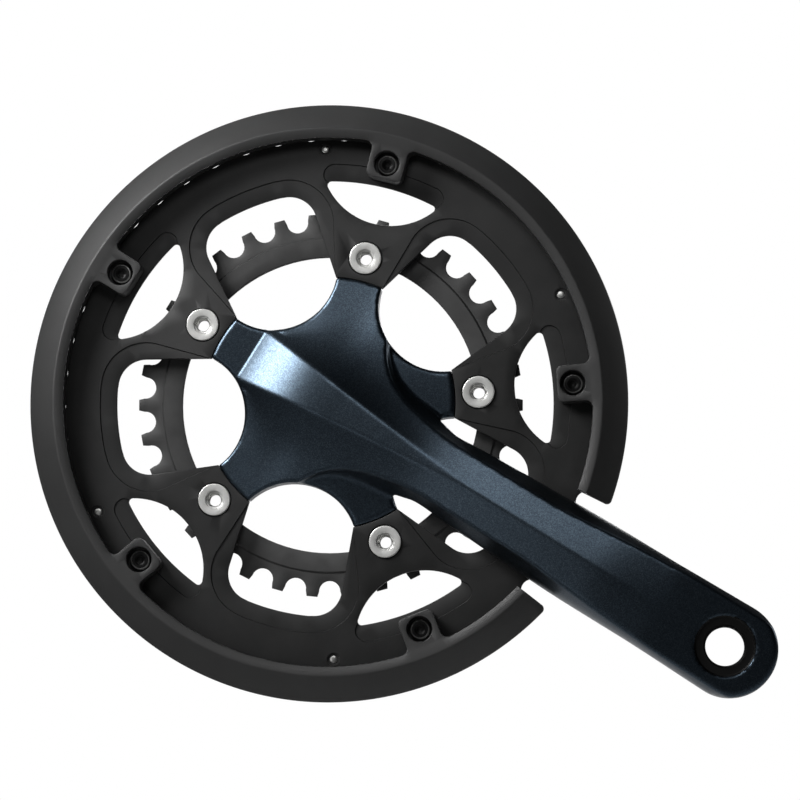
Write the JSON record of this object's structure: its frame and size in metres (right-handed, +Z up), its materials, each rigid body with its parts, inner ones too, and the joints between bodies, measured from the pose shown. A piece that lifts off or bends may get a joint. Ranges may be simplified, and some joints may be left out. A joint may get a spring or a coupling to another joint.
{
  "type": "bicycle crankset",
  "caption": "Drive-side bicycle crank unit with spider, two chainrings, chain guard, hollow spindle and threaded bottom bracket bearings.",
  "frame": {"origin": "on the spindle axis, in the middle plane of the frame's bottom bracket shell", "axes": "+Y along the spindle away from the drive side, +X forward, +Z up, with the crank arm 32 degrees below +X at rest"},
  "size_m": [0.2731, 0.1375, 0.2194],
  "materials": {
    "arm_paint": "satin blue-grey paint with fine metal flake",
    "black_anodised": "satin black anodised",
    "grey_anodised": "satin dark grey anodised",
    "guard_plastic": "fine matte moulded black",
    "turned_silver": "turned silver with concentric tool marks",
    "black_steel": "black oxide",
    "bright_steel": "bright",
    "spindle_steel": "ground and nickel plated",
    "cup_anodised": "satin dark anodised",
    "sleeve_plastic": "matte",
    "bush_plastic": "matte",
    "seal_rubber": "matte",
    "bearing_steel": "ground",
    "cage_nylon": "natural nylon"
  },
  "bodies": {
    "bottom_bracket": {"right_cup": "cup_anodised", "left_cup": "cup_anodised", "centre_sleeve": "sleeve_plastic", "sleeve_o_rings": "seal_rubber", "right_outer_race": "bearing_steel", "left_outer_race": "bearing_steel", "right_seals": "seal_rubber", "left_seals": "seal_rubber"},
    "crank": {"crank_arm": "arm_paint", "spindle": "spindle_steel", "big_chainring": "black_anodised", "small_chainring": "grey_anodised", "chainring_bolts": "turned_silver", "chainring_nuts": "turned_silver", "chain_guard": "guard_plastic", "guard_screws": "black_steel", "shift_pins": "bright_steel", "chain_catch_pin": "bright_steel", "right_inner_race": "bearing_steel", "left_inner_race": "bearing_steel", "right_bush": "bush_plastic", "left_bush": "bush_plastic"},
    "right_ball_set": {"right_balls": "bearing_steel", "right_cage": "cage_nylon"},
    "left_ball_set": {"left_balls": "bearing_steel", "left_cage": "cage_nylon"}
  },
  "joints": [
    {"name": "crank_spin", "type": "hinge", "parent": "bottom_bracket", "child": "crank", "pos_m": [0, 0, 0], "axis": [0, 1, 0], "continuous": true},
    {"name": "right_ball_spin", "type": "hinge", "parent": "bottom_bracket", "child": "right_ball_set", "pos_m": [0, -0.0401, 0], "axis": [0, 1, 0], "continuous": true},
    {"name": "left_ball_spin", "type": "hinge", "parent": "bottom_bracket", "child": "left_ball_set", "pos_m": [0, 0.0401, 0], "axis": [0, 1, 0], "continuous": true}
  ],
  "couplings": [
    {"joint": "right_ball_spin", "follows": "crank_spin", "ratio": 0.4435},
    {"joint": "left_ball_spin", "follows": "crank_spin", "ratio": 0.4435}
  ]
}
